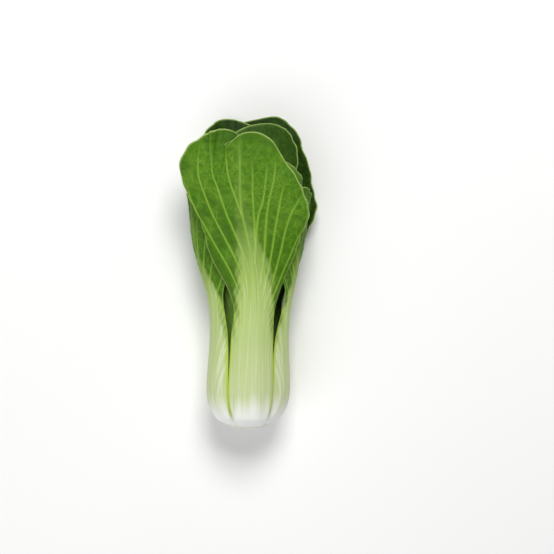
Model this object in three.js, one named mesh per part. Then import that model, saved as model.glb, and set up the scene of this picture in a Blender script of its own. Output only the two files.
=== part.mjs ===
// A head of bok choy as cut, lying on its back: a short stem and the eleven leaves that grow from it.
// Millimetres, +Z up. The head's growth axis runs along +Y, from the cut end to the leaf tips, and the
// widest outer leaf is on top. Each leaf is one closed solid: a thick stalk that thins into a blade.
import * as THREE from 'three';

// Driving dimensions of the head.
const REST_HEIGHT = 26.3; // growth axis above the surface that the head lies on
const BELLY_HEIGHT = 24; // where the bulb of stalks is widest, above the cut end
const WAIST_HEIGHT = 60;
const THROAT_HEIGHT = 90; // where a stalk starts to spread into its blade
const SHOULDER_SHARE = 0.745; // of a leaf's length, where its blade is widest

// The head lies flat, so its leafy end is wider than it is high.
const FLATTEN_FROM = 60;
const FLATTEN_TO = 150;
const SPREAD = 0.36; // how much wider the leafy end gets
const PRESS = 0.2; // how much lower it gets

const EDGE_THICKNESS = 0.9;
const MARGIN_TURN = 6; // how fast the margin's wave runs on below the shoulder, radians per share of length

// The leaves, oldest and outermost first. Angles are in degrees round the growth axis, 0 is straight up
// and 90 is to +X. Radii are those of the leaf's outer face from the axis. Sway is how far the leaf bends
// aside at each of its seven stations, in degrees. Lobes are where the blade's outline swells or dips:
// degrees round the blade from its +X side, share of its reach, and width.
const LEAVES = [
  { turn: 4.5, lean: 0, sway: [0, 0, 0, 3, 6.2, -9, -10.5], length: 198, foot: 1.0, footRadius: 15.8,
    belly: 28.5, neck: 26.2, blade: 37, crest: 40, stalkHalf: 16.8, neckHalf: 14.8, bladeHalf: 34,
    thick: 5.8, tuck: 1.2, open: 4, skew: 0.16, wave: 1.3, waves: 5.2, phase: 0.6,
    lobes: [[128, 0.1, 28], [97, -0.07, 9], [36, -0.05, 18], [196, -0.34, 29], [-22, -0.1, 24]] },
  { turn: 147, lean: 24, length: 212, foot: 1.4, footRadius: 15.6,
    belly: 28.3, neck: 25.6, blade: 35, crest: 38, stalkHalf: 19, neckHalf: 14.6, bladeHalf: 30,
    thick: 5.8, tuck: 1.4, open: 2, skew: -0.06, wave: 1.4, waves: 5.6, phase: 2.1,
    lobes: [[108, 0.08, 16], [50, -0.04, 22]] },
  { turn: 290, lean: 0, length: 160, foot: 1.9, footRadius: 15.2,
    belly: 29.2, neck: 25.6, blade: 29, crest: 30, stalkHalf: 20, neckHalf: 12.8, bladeHalf: 28,
    thick: 5.4, tuck: 3.4, open: 0, skew: 0, wave: 1.1, waves: 5.9, phase: 4.0,
    lobes: [[100, 0.04, 22]] },
  { turn: 76, lean: -14, sway: [0, 0, 0, 4, 10, 0, -4], length: 162, foot: 2.6, footRadius: 14.8,
    belly: 28.8, neck: 27.4, blade: 29.2, crest: 31.6, stalkHalf: 18.4, neckHalf: 8, bladeHalf: 23.5,
    thick: 5.2, tuck: 4.9, open: 0, skew: 0, wave: 1.0, waves: 5.4, phase: 1.2,
    lobes: [[80, 0.05, 24]] },
  { turn: 215, lean: -19, length: 210, foot: 3.0, footRadius: 14.6,
    belly: 27.2, neck: 24, blade: 28.8, crest: 29.6, stalkHalf: 18, neckHalf: 12.5, bladeHalf: 27,
    thick: 5.2, tuck: 3.4, open: 0, skew: -0.08, wave: 0.9, waves: 5.7, phase: 5.1,
    lobes: [[84, 0.05, 24], [30, -0.04, 18]] },
  { turn: 34, lean: -4, length: 180, foot: 6.4, footRadius: 11.2,
    belly: 20.6, neck: 19.6, blade: 26, crest: 28.5, stalkHalf: 13, neckHalf: 9.5, bladeHalf: 26,
    thick: 4.4, tuck: 1.0, open: 0, skew: 0, wave: 1.0, waves: 5.2, phase: 3.2,
    lobes: [[95, 0.05, 24]] },
  { turn: 181, lean: -19, length: 208, foot: 6.8, footRadius: 11,
    belly: 20.2, neck: 18.8, blade: 24.4, crest: 26, stalkHalf: 13, neckHalf: 9.5, bladeHalf: 28,
    thick: 4.4, tuck: 1.0, open: 0, skew: 0, wave: 0.8, waves: 5.5, phase: 0.2,
    lobes: [[96, 0.03, 30]] },
  { turn: 323, lean: 6, length: 178, foot: 7.2, footRadius: 10.8,
    belly: 19.8, neck: 18, blade: 22.8, crest: 25.5, stalkHalf: 11.5, neckHalf: 9, bladeHalf: 24,
    thick: 4.2, tuck: 1.2, open: 0, skew: 0, wave: 0.9, waves: 5.8, phase: 2.7,
    lobes: [[85, 0.05, 24]] },
  { turn: 108, lean: 0, length: 172, foot: 10.6, footRadius: 7.6,
    belly: 13.8, neck: 13.4, blade: 18.2, crest: 21, stalkHalf: 9.5, neckHalf: 7.5, bladeHalf: 20,
    thick: 3.4, tuck: 0.6, open: 0, skew: 0, wave: 0.8, waves: 5.0, phase: 1.9,
    lobes: [[92, 0.04, 26]] },
  { turn: 252, lean: 0, length: 162, foot: 11, footRadius: 7.4,
    belly: 13.4, neck: 12.6, blade: 16, crest: 18.2, stalkHalf: 9, neckHalf: 7, bladeHalf: 18,
    thick: 3.2, tuck: 0.6, open: 0, skew: 0, wave: 0.7, waves: 5.3, phase: 4.4,
    lobes: [[88, 0.04, 26]] },
  { turn: 0, lean: 0, length: 132, foot: 13, footRadius: 5.2,
    belly: 8.2, neck: 8.4, blade: 10.5, crest: 12, stalkHalf: 6.5, neckHalf: 5, bladeHalf: 10.5,
    thick: 2.6, tuck: 0.3, open: 0, skew: 0, wave: 0.5, waves: 4.6, phase: 5.6,
    lobes: [[90, 0.04, 26]] },
];
const OUTER_LEAVES = 5; // the leaves of the outer ring get the finer grid
const OUTER_GRID = { across: 16, along: 28 };
const INNER_GRID = { across: 10, along: 18 };

// The pleat in the widest leaf's blade: where it runs, how wide its two sides are and how deep it is.
const PLEAT = { x: -7, steepSide: 3, gentleSide: 9, depth: 3.2 };

// The short stem, as a profile of radius and height above the cut end: its steps carry the leaf feet.
const STEM_PROFILE = [
  [0, 0], [11.4, 0], [11.8, 0.8], [11.9, 3.4], [11.2, 5], [9, 6], [7, 6], [6.6, 10.2], [4.4, 10.2],
  [4.0, 12.6], [2.2, 12.6], [1.6, 16], [0, 17],
];

const STALK_GREEN = 0xc6d69c;
const BLADE_GREEN = 0x4c7d27;
const STEM_WHITE = 0xe4e6d2;

const radians = THREE.MathUtils.degToRad;
const { smoothstep, lerp } = THREE.MathUtils;

// A smooth curve through evenly spaced values, at a share t of its length.
function through(values, t) {
  const last = values.length - 1;
  const at = (k) => values[Math.max(0, Math.min(last, k))];
  const i = Math.max(0, Math.min(last - 1, Math.floor(t * last)));
  const f = t * last - i;
  const slope0 = (at(i + 1) - at(i - 1)) / 2;
  const slope1 = (at(i + 2) - at(i)) / 2;
  const rise = at(i + 1) - at(i);
  return at(i) + f * (slope0 + f * (3 * rise - 2 * slope0 - slope1 + f * (slope0 + slope1 - 2 * rise)));
}

// A leaf's values at its seven stations: foot, heel, belly, waist, throat, shoulder and crest.
const SHOULDER = 5 / 6;
const THROAT = 4 / 6;
function stationsOf(leaf) {
  const ribAtShoulder = 3.4;
  const ribAtCrest = 1.2;
  const waistHalf = lerp(leaf.stalkHalf, leaf.neckHalf, 0.45);
  return {
    height: [leaf.foot, lerp(leaf.foot, BELLY_HEIGHT, 0.26), BELLY_HEIGHT, WAIST_HEIGHT, THROAT_HEIGHT,
      leaf.length * SHOULDER_SHARE, leaf.length],
    radius: [leaf.footRadius, lerp(leaf.footRadius, leaf.belly, 0.62), leaf.belly,
      lerp(leaf.belly, leaf.neck, 0.6), leaf.neck, leaf.blade, leaf.crest],
    half: [leaf.stalkHalf * 0.5, leaf.stalkHalf * 0.8, leaf.stalkHalf, waistHalf,
      leaf.neckHalf * 1.06, leaf.bladeHalf, leaf.neckHalf * 1.06],
    tuck: [0.4, 0.8, 1, 0.9, 0.35, 0, 0].map((share) => share * leaf.tuck),
    open: [0, 0, 0, 0, 0.1, 1, 0.6].map((share) => share * leaf.open),
    rib: [leaf.stalkHalf * 0.5, leaf.stalkHalf * 0.8, leaf.stalkHalf, waistHalf,
      leaf.neckHalf * 0.8, ribAtShoulder, ribAtCrest],
    thick: [0.72, 0.92, 1, 0.9, 0.76, 0.3, 0.18]
      .map((share) => Math.max(share * leaf.thick, EDGE_THICKNESS)),
    ribOutside: [0, 0, 0, 0, 0.25, 0.9, 1],
    sway: leaf.sway ?? [0, 0],
  };
}

// The flat leaf: x across and t along it, for a place (a, v) of the grid. The upper blade is a half disc.
function flatPlace(leaf, a, v) {
  if (v <= SHOULDER) return { x: a * through(leaf.half, v), t: v };
  const b = (v - SHOULDER) / (1 - SHOULDER);
  const across = a * Math.sqrt(1 - (b * b) / 2);
  const along = b * Math.sqrt(1 - (a * a) / 2);
  return { x: across * leaf.bladeHalf, t: SHOULDER + (1 - SHOULDER) * along };
}

// How near a flat place is to the margin, 0 at the midrib and 1 at the edge, and how far round the blade.
function marginPlace(leaf, x, t) {
  if (t > SHOULDER) {
    const across = x / leaf.bladeHalf;
    const along = (t - SHOULDER) / (1 - SHOULDER);
    return { reach: Math.hypot(across, along), round: Math.atan2(along, across) };
  }
  const below = MARGIN_TURN * (SHOULDER - t);
  return { reach: Math.abs(x) / through(leaf.half, t), round: x >= 0 ? -below : Math.PI + below };
}

// A point of the head, from its radius, its angle round the axis and its height above the cut end.
function headPoint(radius, angle, height) {
  const flat = smoothstep(height, FLATTEN_FROM, FLATTEN_TO);
  return new THREE.Vector3(
    radius * Math.sin(angle) * (1 + SPREAD * flat),
    height,
    radius * Math.cos(angle) * (1 - PRESS * flat),
  );
}

// How much further the outline reaches at an angle round the blade, as a share of its reach.
function lobesAt(leaf, round) {
  return leaf.lobes.reduce((sum, [degrees, share, width]) => {
    const off = (round - radians(degrees)) / radians(width);
    return sum + share * Math.exp(-off * off);
  }, 0);
}

// The depth of the pleat at a place across the blade, as a share of its full depth.
function pleatAt(x) {
  const off = x - PLEAT.x;
  return Math.exp(-((off / (off > 0 ? PLEAT.steepSide : PLEAT.gentleSide)) ** 2));
}

// The leaf's outer skin, before the midrib is raised on it.
function skin(leaf, x, t) {
  const { reach, round } = marginPlace(leaf, x, t);
  const bladeness = smoothstep(t, THROAT, SHOULDER);
  const longWave = Math.sin(leaf.waves * round + leaf.phase);
  const shortWave = 0.45 * Math.sin(2.3 * leaf.waves * round + 1.7 * leaf.phase);
  const wave = leaf.wave * bladeness * reach ** 3 * (longWave + shortWave);
  const pleat = leaf.pleated ? PLEAT.depth * pleatAt(x) * bladeness * smoothstep(reach, 0.35, 1) : 0;
  const sideways = Math.min(1, Math.abs(x) / (t > SHOULDER ? leaf.bladeHalf : through(leaf.half, t)));
  const radius = through(leaf.radius, t);
  const lifted = radius + (through(leaf.open, t) - through(leaf.tuck, t)) * sideways ** 2 + wave - pleat;
  const swell = 1 + bladeness * reach ** 2 * lobesAt(leaf, round);
  const turned = leaf.turn + leaf.lean * smoothstep(t, 0.5, 1) + through(leaf.sway, t);
  const angle = radians(turned) + (x * swell) / radius;
  const shoulder = leaf.length * SHOULDER_SHARE;
  const level = through(leaf.height, t);
  const height = t > SHOULDER ? shoulder + (level - shoulder) * swell : level;
  return headPoint(lifted, angle, height - leaf.skew * x * bladeness);
}

// The leaf's outer and inner faces at a flat place, each a distance out or in from the skin.
function facesAt(leaf, x, t) {
  const step = 0.01;
  const here = skin(leaf, x, t);
  const across = skin(leaf, x + step, t).sub(skin(leaf, x - step, t));
  const along = skin(leaf, x, Math.min(1, t + step / 10)).sub(skin(leaf, x, Math.max(0, t - step / 10)));
  const outward = along.cross(across).normalize().negate();
  const bump = Math.max(0, 1 - (x / through(leaf.rib, t)) ** 2);
  const rib = (through(leaf.thick, t) - EDGE_THICKNESS) * bump;
  const outShare = through(leaf.ribOutside, t);
  return {
    outer: here.clone().addScaledVector(outward, rib * outShare),
    inner: here.clone().addScaledVector(outward, -EDGE_THICKNESS - rib * (1 - outShare)),
  };
}

// A leaf as one closed mesh: an outer and an inner grid, split into triangles alike, and a rim between.
function leafGeometry(measures, grid) {
  const leaf = { ...measures, ...stationsOf(measures), pleated: measures === LEAVES[0] };
  const columns = grid.across + 1;
  const rows = grid.along + 1;
  const positions = [];
  const triangles = [];
  for (const face of ['outer', 'inner']) {
    for (let j = 0; j < rows; j++) {
      for (let i = 0; i < columns; i++) {
        const place = flatPlace(leaf, (2 * i) / grid.across - 1, j / grid.along);
        const p = facesAt(leaf, place.x, place.t)[face];
        p.z = Math.max(p.z, face === 'outer' ? -REST_HEIGHT : EDGE_THICKNESS - REST_HEIGHT);
        positions.push(p.x, p.y, p.z);
      }
    }
  }
  const index = (face, i, j) => face * columns * rows + j * columns + i;
  for (let j = 0; j < grid.along; j++) {
    for (let i = 0; i < grid.across; i++) {
      for (const face of [0, 1]) {
        const [p, q] = [index(face, i, j), index(face, i + 1, j)];
        const [s, r] = [index(face, i, j + 1), index(face, i + 1, j + 1)];
        triangles.push(...(face ? [p, r, q, p, s, r] : [p, q, r, p, r, s]));
      }
    }
  }
  const rim = [];
  for (let i = 0; i < grid.across; i++) rim.push([i, 0]);
  for (let j = 0; j < grid.along; j++) rim.push([grid.across, j]);
  for (let i = grid.across; i > 0; i--) rim.push([i, grid.along]);
  for (let j = grid.along; j > 0; j--) rim.push([0, j]);
  rim.forEach(([i, j], n) => {
    const [k, l] = rim[(n + 1) % rim.length];
    triangles.push(index(0, i, j), index(1, i, j), index(1, k, l));
    triangles.push(index(0, i, j), index(1, k, l), index(0, k, l));
  });
  const geometry = new THREE.BufferGeometry();
  geometry.setAttribute('position', new THREE.Float32BufferAttribute(positions, 3));
  geometry.setIndex(triangles);
  geometry.computeVertexNormals();
  return geometry;
}

const head = new THREE.Group();

LEAVES.forEach((measures, n) => {
  const outerRing = n < OUTER_LEAVES;
  const material = new THREE.MeshStandardMaterial({
    color: outerRing ? BLADE_GREEN : STALK_GREEN, roughness: 0.5, metalness: 0, side: THREE.DoubleSide,
  });
  const leaf = new THREE.Mesh(leafGeometry(measures, outerRing ? OUTER_GRID : INNER_GRID), material);
  leaf.name = `leaf_${String(n + 1).padStart(2, '0')}`;
  head.add(leaf);
});

const stem = new THREE.Mesh(
  new THREE.LatheGeometry(STEM_PROFILE.map(([radius, height]) => new THREE.Vector2(radius, height)), 24),
  new THREE.MeshStandardMaterial({ color: STEM_WHITE, roughness: 0.6, metalness: 0 }),
);
stem.name = 'stem';
head.add(stem);

// The origin is in the middle of the space that the head takes up, on the surface below it.
const middle = new THREE.Box3().setFromObject(head).getCenter(new THREE.Vector3());
head.position.set(-middle.x, -middle.y, REST_HEIGHT);

const bokChoy = new THREE.Group();
bokChoy.add(head);
export default bokChoy;
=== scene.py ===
"""A head of bok choy lying flat: its fine leaves and cut stem, and the stage they are seen on."""
import math

import bpy
import numpy as np
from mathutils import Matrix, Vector


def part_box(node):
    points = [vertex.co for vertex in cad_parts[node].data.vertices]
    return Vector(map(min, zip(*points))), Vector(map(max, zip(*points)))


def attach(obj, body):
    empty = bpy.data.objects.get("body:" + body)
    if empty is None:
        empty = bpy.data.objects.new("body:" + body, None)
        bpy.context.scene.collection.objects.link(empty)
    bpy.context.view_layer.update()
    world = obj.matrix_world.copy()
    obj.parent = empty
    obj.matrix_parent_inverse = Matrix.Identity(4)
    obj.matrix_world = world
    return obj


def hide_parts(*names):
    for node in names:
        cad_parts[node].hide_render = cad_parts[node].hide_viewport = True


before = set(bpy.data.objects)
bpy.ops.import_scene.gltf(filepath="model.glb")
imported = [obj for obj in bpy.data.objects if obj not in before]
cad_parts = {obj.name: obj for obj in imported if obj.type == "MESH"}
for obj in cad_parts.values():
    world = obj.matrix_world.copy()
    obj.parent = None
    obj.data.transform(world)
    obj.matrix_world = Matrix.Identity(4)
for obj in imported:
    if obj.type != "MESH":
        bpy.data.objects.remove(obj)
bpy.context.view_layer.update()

bl_info = {
    "name": "Bok Choy",
    "version": (1, 0, 0),
    "blender": (4, 5, 0),
    "location": "View3D > Sidebar > Bok Choy",
    "description": "Builds the veined leaves, the cut stem and the stage of a head of bok choy",
    "category": "Add Mesh",
}

MM = 0.001

# The head's driving dimensions, in millimetres, as its solids have them.
BELLY_HEIGHT = 24
WAIST_HEIGHT = 60
THROAT_HEIGHT = 90
SHOULDER_SHARE = 0.745
FLATTEN_FROM = 60
FLATTEN_TO = 150
SPREAD = 0.36
PRESS = 0.2
EDGE_THICKNESS = 0.9
MARGIN_TURN = 6

# The leaves, oldest and outermost first. Angles are in degrees round the growth axis, 0 is straight up and
# 90 is to +X. Lobes are where the blade's outline swells or dips: degrees round it, share and width. What a
# row leaves out is as in the defaults.
LEAF_DEFAULTS = dict(lean=0, sway=[0, 0], open=0, skew=0)
LEAF_ROWS = [
    dict(turn=4.5, sway=[0, 0, 0, 3, 6.2, -9, -10.5], length=198, foot=1.0, foot_radius=15.8,
         belly=28.5, neck=26.2, blade=37, crest=40, stalk_half=16.8, neck_half=14.8, blade_half=34,
         thick=5.8, tuck=1.2, open=4, skew=0.16, wave=1.3, waves=5.2, phase=0.6,
         lobes=[(128, 0.1, 28), (97, -0.07, 9), (36, -0.05, 18), (196, -0.34, 29), (-22, -0.1, 24)]),
    dict(turn=147, lean=24, length=212, foot=1.4, foot_radius=15.6,
         belly=28.3, neck=25.6, blade=35, crest=38, stalk_half=19, neck_half=14.6, blade_half=30,
         thick=5.8, tuck=1.4, open=2, skew=-0.06, wave=1.4, waves=5.6, phase=2.1,
         lobes=[(108, 0.08, 16), (50, -0.04, 22)]),
    dict(turn=290, length=160, foot=1.9, foot_radius=15.2,
         belly=29.2, neck=25.6, blade=29, crest=30, stalk_half=20, neck_half=12.8, blade_half=28,
         thick=5.4, tuck=3.4, wave=1.1, waves=5.9, phase=4.0, lobes=[(100, 0.04, 22)]),
    dict(turn=76, lean=-14, sway=[0, 0, 0, 4, 10, 0, -4], length=162, foot=2.6, foot_radius=14.8,
         belly=28.8, neck=27.4, blade=29.2, crest=31.6, stalk_half=18.4, neck_half=8, blade_half=23.5,
         thick=5.2, tuck=4.9, wave=1.0, waves=5.4, phase=1.2, lobes=[(80, 0.05, 24)]),
    dict(turn=215, lean=-19, length=210, foot=3.0, foot_radius=14.6,
         belly=27.2, neck=24, blade=28.8, crest=29.6, stalk_half=18, neck_half=12.5, blade_half=27,
         thick=5.2, tuck=3.4, skew=-0.08, wave=0.9, waves=5.7, phase=5.1,
         lobes=[(84, 0.05, 24), (30, -0.04, 18)]),
    dict(turn=34, lean=-4, length=180, foot=6.4, foot_radius=11.2,
         belly=20.6, neck=19.6, blade=26, crest=28.5, stalk_half=13, neck_half=9.5, blade_half=26,
         thick=4.4, tuck=1.0, wave=1.0, waves=5.2, phase=3.2, lobes=[(95, 0.05, 24)]),
    dict(turn=181, lean=-19, length=208, foot=6.8, foot_radius=11,
         belly=20.2, neck=18.8, blade=24.4, crest=26, stalk_half=13, neck_half=9.5, blade_half=28,
         thick=4.4, tuck=1.0, wave=0.8, waves=5.5, phase=0.2, lobes=[(96, 0.03, 30)]),
    dict(turn=323, lean=6, length=178, foot=7.2, foot_radius=10.8,
         belly=19.8, neck=18, blade=22.8, crest=25.5, stalk_half=11.5, neck_half=9, blade_half=24,
         thick=4.2, tuck=1.2, wave=0.9, waves=5.8, phase=2.7, lobes=[(85, 0.05, 24)]),
    dict(turn=108, length=172, foot=10.6, foot_radius=7.6,
         belly=13.8, neck=13.4, blade=18.2, crest=21, stalk_half=9.5, neck_half=7.5, blade_half=20,
         thick=3.4, tuck=0.6, wave=0.8, waves=5.0, phase=1.9, lobes=[(92, 0.04, 26)]),
    dict(turn=252, length=162, foot=11, foot_radius=7.4,
         belly=13.4, neck=12.6, blade=16, crest=18.2, stalk_half=9, neck_half=7, blade_half=18,
         thick=3.2, tuck=0.6, wave=0.7, waves=5.3, phase=4.4, lobes=[(88, 0.04, 26)]),
    dict(turn=0, length=132, foot=13, foot_radius=5.2,
         belly=8.2, neck=8.4, blade=10.5, crest=12, stalk_half=6.5, neck_half=5, blade_half=10.5,
         thick=2.6, tuck=0.3, wave=0.5, waves=4.6, phase=5.6, lobes=[(90, 0.04, 26)]),
]
LEAVES = [{**LEAF_DEFAULTS, **row} for row in LEAF_ROWS]

# How many are full grown, and how young the others are coloured, where 1 is very young.
OUTER_LEAVES = 5
INNER_YOUTH = 0.3

# Fine grids: columns across, rows up the stalk and rows up the blade.
FRONT_GRID = (150, 84, 206)
OUTER_GRID = (96, 60, 140)
INNER_GRID = (66, 40, 90)

# The stem's profile, radius and height. Above the cut it widens to the base that the outer leaves grow from.
STEM_PROFILE = [
    (0, 0), (11.4, 0), (11.9, 0.7), (13.4, 2.2), (14.8, 4.2), (13.8, 5.6), (9, 6), (7, 6), (6.6, 10.2),
    (4.4, 10.2), (4.0, 12.6), (2.2, 12.6), (1.6, 16), (0, 17),
]

STEM_SIDES = 96
STEM_RINGS = 60
GOLDEN_ANGLE = 137.508

# What the fine leaves add to the solids: thinner blades, and ruffled margins that are thinner still.
BLADE_THICKNESS = 0.62
MARGIN_THICKNESS = 0.34
MARGIN_FROM = 0.93
RIM_BULGE = 0.3
RUFFLE = 0.3

# The widest leaf's fold, where its right part lies over its left lobe: how far it goes sideways and how deep
# it dips, each by the place across the flat leaf, its greatest depth, and the lobes that it adds.
FOLD_SHIFT = [(-18, 0), (-10, 8.6), (-6.5, -1.6), (-2, 0)]
FOLD_DIP = [(-21, 0), (-12.5, 2.3), (-9.6, 3.2), (-6.5, -0.7), (-1, 0)]
FOLD_DEPTH = max(depth for _, depth in FOLD_DIP)
FOLD_LOBES = [(101, -0.125, 5.9), (114, 0.035, 6), (127, -0.06, 9), (74, 0.08, 16)]

# The crinkles beside the fold, which run up to the margin: where they are, how far apart and how high, and
# how they stray from straight and even ones.
CRINKLE = {"middle": -13.2, "width": 4.4, "wavelength": 4.4, "ridge": -9.9, "height": 1.15, "before": -11,
           "stray": 0.9, "slant": 7}

# Where a stalk's margins start to turn green above the cut end, on the outer and on the younger leaves, and
# over what height they do.
GREEN_FROM = 50
YOUNG_GREEN_FROM = 30
GREEN_OVER = 24

# Veins: how many leave the midrib on each side, how many branches each has, and how many run down each side
# of a stalk. The first seed is the outermost leaf's.
SIDE_VEINS = 5
BRANCHES = 11
WING_VEINS = 5
FIRST_SEED = 11

# How wide each kind of vein is where it starts and at its tip, and how strongly one shows at shares of its
# length. The tissue between veins is fully swollen, and fully darkened by painted shade, this far from them.
MAIN_VEIN = (0.52, 0.3)
FINE_VEIN = (0.3, 0.2)
WING_VEIN = (0.9, 0.5)
VEIN_FADE = ([0, 0.8, 1], [1, 0.76, 0.12])
SWOLLEN_AT = 3.2

# How far apart the leaves lie in the patterns that their finish draws on, so that no two are alike.
PATTERN_STEP = 37

# The widest leaf's main veins as they show, by points on the flat leaf: across and up, in millimetres.
FRONT_VEINS = [
    [(0, 84), (0, 120), (0, 150), (0.3, 176), (0, 194)],
    [(-0.3, 144), (-1.9, 153), (-4.0, 162), (-5.7, 171), (-6.4, 180), (-6.5, 190)],
    [(-1.6, 100), (-4.7, 121), (-7.8, 141.5), (-11.3, 161), (-13.8, 169), (-15.3, 177), (-16.6, 190)],
    [(-3.6, 88), (-9.3, 115), (-15.1, 140), (-18.4, 155), (-20.9, 168), (-21.4, 179), (-20.6, 190)],
    [(-5.6, 76), (-13.5, 105), (-21, 132), (-26.5, 152), (-29.5, 165)],
    [(1.4, 112), (3.7, 128), (5.6, 144), (6.3, 160), (6.5, 173), (5.8, 188)],
    [(2.0, 118), (7.6, 144), (11.2, 156), (13.4, 173), (14.2, 183)],
    [(3.0, 96), (7.6, 121), (12, 145), (14.9, 160), (17.2, 171), (18.2, 180), (18.4, 188)],
    [(4.2, 88), (11, 118), (17.4, 146), (20.4, 161), (22.6, 171)],
    [(5.4, 78), (14.3, 112), (23.3, 146), (27.2, 156), (30.6, 163)],
    [(6.4, 72), (15.5, 100), (25, 126), (30.5, 140)],
]

# Where the growth axis lies, from the stem's box.
STEM_LOW, STEM_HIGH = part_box("stem")
AXIS = Vector(((STEM_LOW.x + STEM_HIGH.x) / 2, STEM_LOW.y, (STEM_LOW.z + STEM_HIGH.z) / 2))
REST_HEIGHT = AXIS.z / MM

# The vessel ends on the stem's cut face: how many, and their sizes in metres.
VESSELS = {"Count": 60, "Inner Radius": 0.0035, "Outer Radius": 0.0096, "Vessel Radius": 0.00042}
VESSEL_SIZES = (0.7, 1.25)

# The view straight down: millimetres that a pixel shows, at this share of the head's height, the picture's
# width, and the pixel of the cut end.
PIXEL_SIZE = 0.68
SCALE_AT = 0.7
PICTURE_PIXELS = 554
CUT_END_PIXEL = (248, 428)
CAMERA_HEIGHT = 1.6
SENSOR_WIDTH = 36

# The stage: half the floor's width and its two tones, the soft lamps, and the strength of the room's light.
FLOOR_HALF = 3.0
FLOOR_TONES = (0.93, 0.95)
LAMPS_AIM = (0, 0, 0.03)
LAMPS = [
    dict(name="window", place=(0.12, 0.75, 1.1), size=0.6, energy=14, colour=(1.0, 0.99, 0.97)),
    dict(name="bounce", place=(-0.5, -0.7, 1.0), size=1.2, energy=8, colour=(0.98, 0.99, 1.0)),
]
ROOM_LIGHT = 0.2


def smoothstep(low, high, x):
    u = np.clip((x - low) / (high - low), 0, 1)
    return u * u * (3 - 2 * u)


def mix(a, b, share):
    return a + (b - a) * share


def through(values, t):
    """A smooth curve through evenly spaced values, at shares t of its length."""
    values = np.asarray(values, float)
    last = len(values) - 1
    i = np.clip(np.floor(t * last).astype(int), 0, last - 1)
    f = t * last - i

    def at(k):
        return values[np.clip(k, 0, last)]

    slope_0 = (at(i + 1) - at(i - 1)) / 2
    slope_1 = (at(i + 2) - at(i)) / 2
    rise = at(i + 1) - at(i)
    return at(i) + f * (slope_0 + f * (3 * rise - 2 * slope_0 - slope_1 + f * (slope_0 + slope_1 - 2 * rise)))


# A leaf's seven stations: foot, heel, belly, waist, throat, shoulder and crest.
SHOULDER = 5 / 6
THROAT = 4 / 6


def stations(leaf):
    """The leaf's measures at its seven stations."""
    belly, neck = leaf["belly"], leaf["neck"]
    stalk, throat_half = leaf["stalk_half"], leaf["neck_half"]
    waist_half = mix(stalk, throat_half, 0.45)
    thick = [0.72, 0.92, 1, 0.9, 0.76, 0.3, 0.18]
    return {
        "height": [leaf["foot"], mix(leaf["foot"], BELLY_HEIGHT, 0.26), BELLY_HEIGHT, WAIST_HEIGHT,
                   THROAT_HEIGHT, leaf["length"] * SHOULDER_SHARE, leaf["length"]],
        "radius": [leaf["foot_radius"], mix(leaf["foot_radius"], belly, 0.62), belly, mix(belly, neck, 0.6),
                   neck, leaf["blade"], leaf["crest"]],
        "half": [stalk * 0.5, stalk * 0.8, stalk, waist_half, throat_half * 1.06, leaf["blade_half"],
                 throat_half * 1.06],
        "tuck": [share * leaf["tuck"] for share in (0.4, 0.8, 1, 0.9, 0.35, 0, 0)],
        "open": [share * leaf["open"] for share in (0, 0, 0, 0, 0.1, 1, 0.6)],
        "rib": [stalk * 0.5, stalk * 0.8, stalk, waist_half, throat_half * 0.8, 3.4, 1.2],
        "thick": [max(share * leaf["thick"], EDGE_THICKNESS) for share in thick],
        "rib_outside": [0, 0, 0, 0, 0.25, 0.9, 1],
        "sway": leaf["sway"],
    }


def flat_place(leaf, curves, a, v):
    """The flat leaf: x across and t along it. The upper blade is a half disc."""
    b = np.clip((v - SHOULDER) / (1 - SHOULDER), 0, 1)
    low_x = a * through(curves["half"], np.minimum(v, SHOULDER))
    disc_x = a * np.sqrt(1 - b * b / 2) * leaf["blade_half"]
    disc_t = SHOULDER + (1 - SHOULDER) * b * np.sqrt(1 - a * a / 2)
    on_disc = v > SHOULDER
    return np.where(on_disc, disc_x, low_x), np.where(on_disc, disc_t, v)


def margin_place(leaf, curves, x, t):
    """How near a flat place is to the margin, and how far round the blade."""
    on_disc = t > SHOULDER
    across = x / leaf["blade_half"]
    along = (t - SHOULDER) / (1 - SHOULDER)
    below = MARGIN_TURN * (SHOULDER - t)
    reach_low = np.abs(x) / through(curves["half"], np.minimum(t, SHOULDER))
    round_low = np.where(x >= 0, -below, math.pi + below)
    reach = np.where(on_disc, np.hypot(across, along), reach_low)
    return reach, np.where(on_disc, np.arctan2(along, across), round_low)


def swelling(leaf, reach, turn, bladeness):
    """How much further the outline reaches than a plain half disc."""
    outline = leaf["lobes"] + (FOLD_LOBES if leaf is LEAVES[0] else [])
    lobes = sum(share * np.exp(-((turn - math.radians(at)) / math.radians(width)) ** 2)
                for at, share, width in outline)
    return 1 + bladeness * reach ** 2 * lobes


def eased(x, places):
    """A curve that is level at each of the given places, and eases from one to the next."""
    values = np.full(np.shape(x), float(places[0][1]))
    for (low, start), (high, end) in zip(places, places[1:]):
        values = values + (end - start) * smoothstep(low, high, x)
    return values


def fold(x, reach, bladeness):
    """The widest blade's fold: how far it goes sideways, and how deep it and its crinkles dip."""
    sideways = eased(x, FOLD_SHIFT) * bladeness * smoothstep(0.5, 1, reach)
    dip = eased(x, FOLD_DIP) * bladeness * smoothstep(0.4, 0.95, reach)
    there = x + sideways
    near = np.exp(-((there - CRINKLE["middle"]) / CRINKLE["width"]) ** 2)
    near = near * smoothstep(CRINKLE["before"] + 2, CRINKLE["before"], x) * smoothstep(0.66, 0.94, reach)
    stray = CRINKLE["stray"] * np.sin(0.9 * there + 1) + CRINKLE["slant"] * (1 - reach)
    waved = np.cos(2 * math.pi * (there - CRINKLE["ridge"]) / CRINKLE["wavelength"] + stray)
    return sideways, dip, CRINKLE["height"] * near * bladeness * waved


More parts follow.
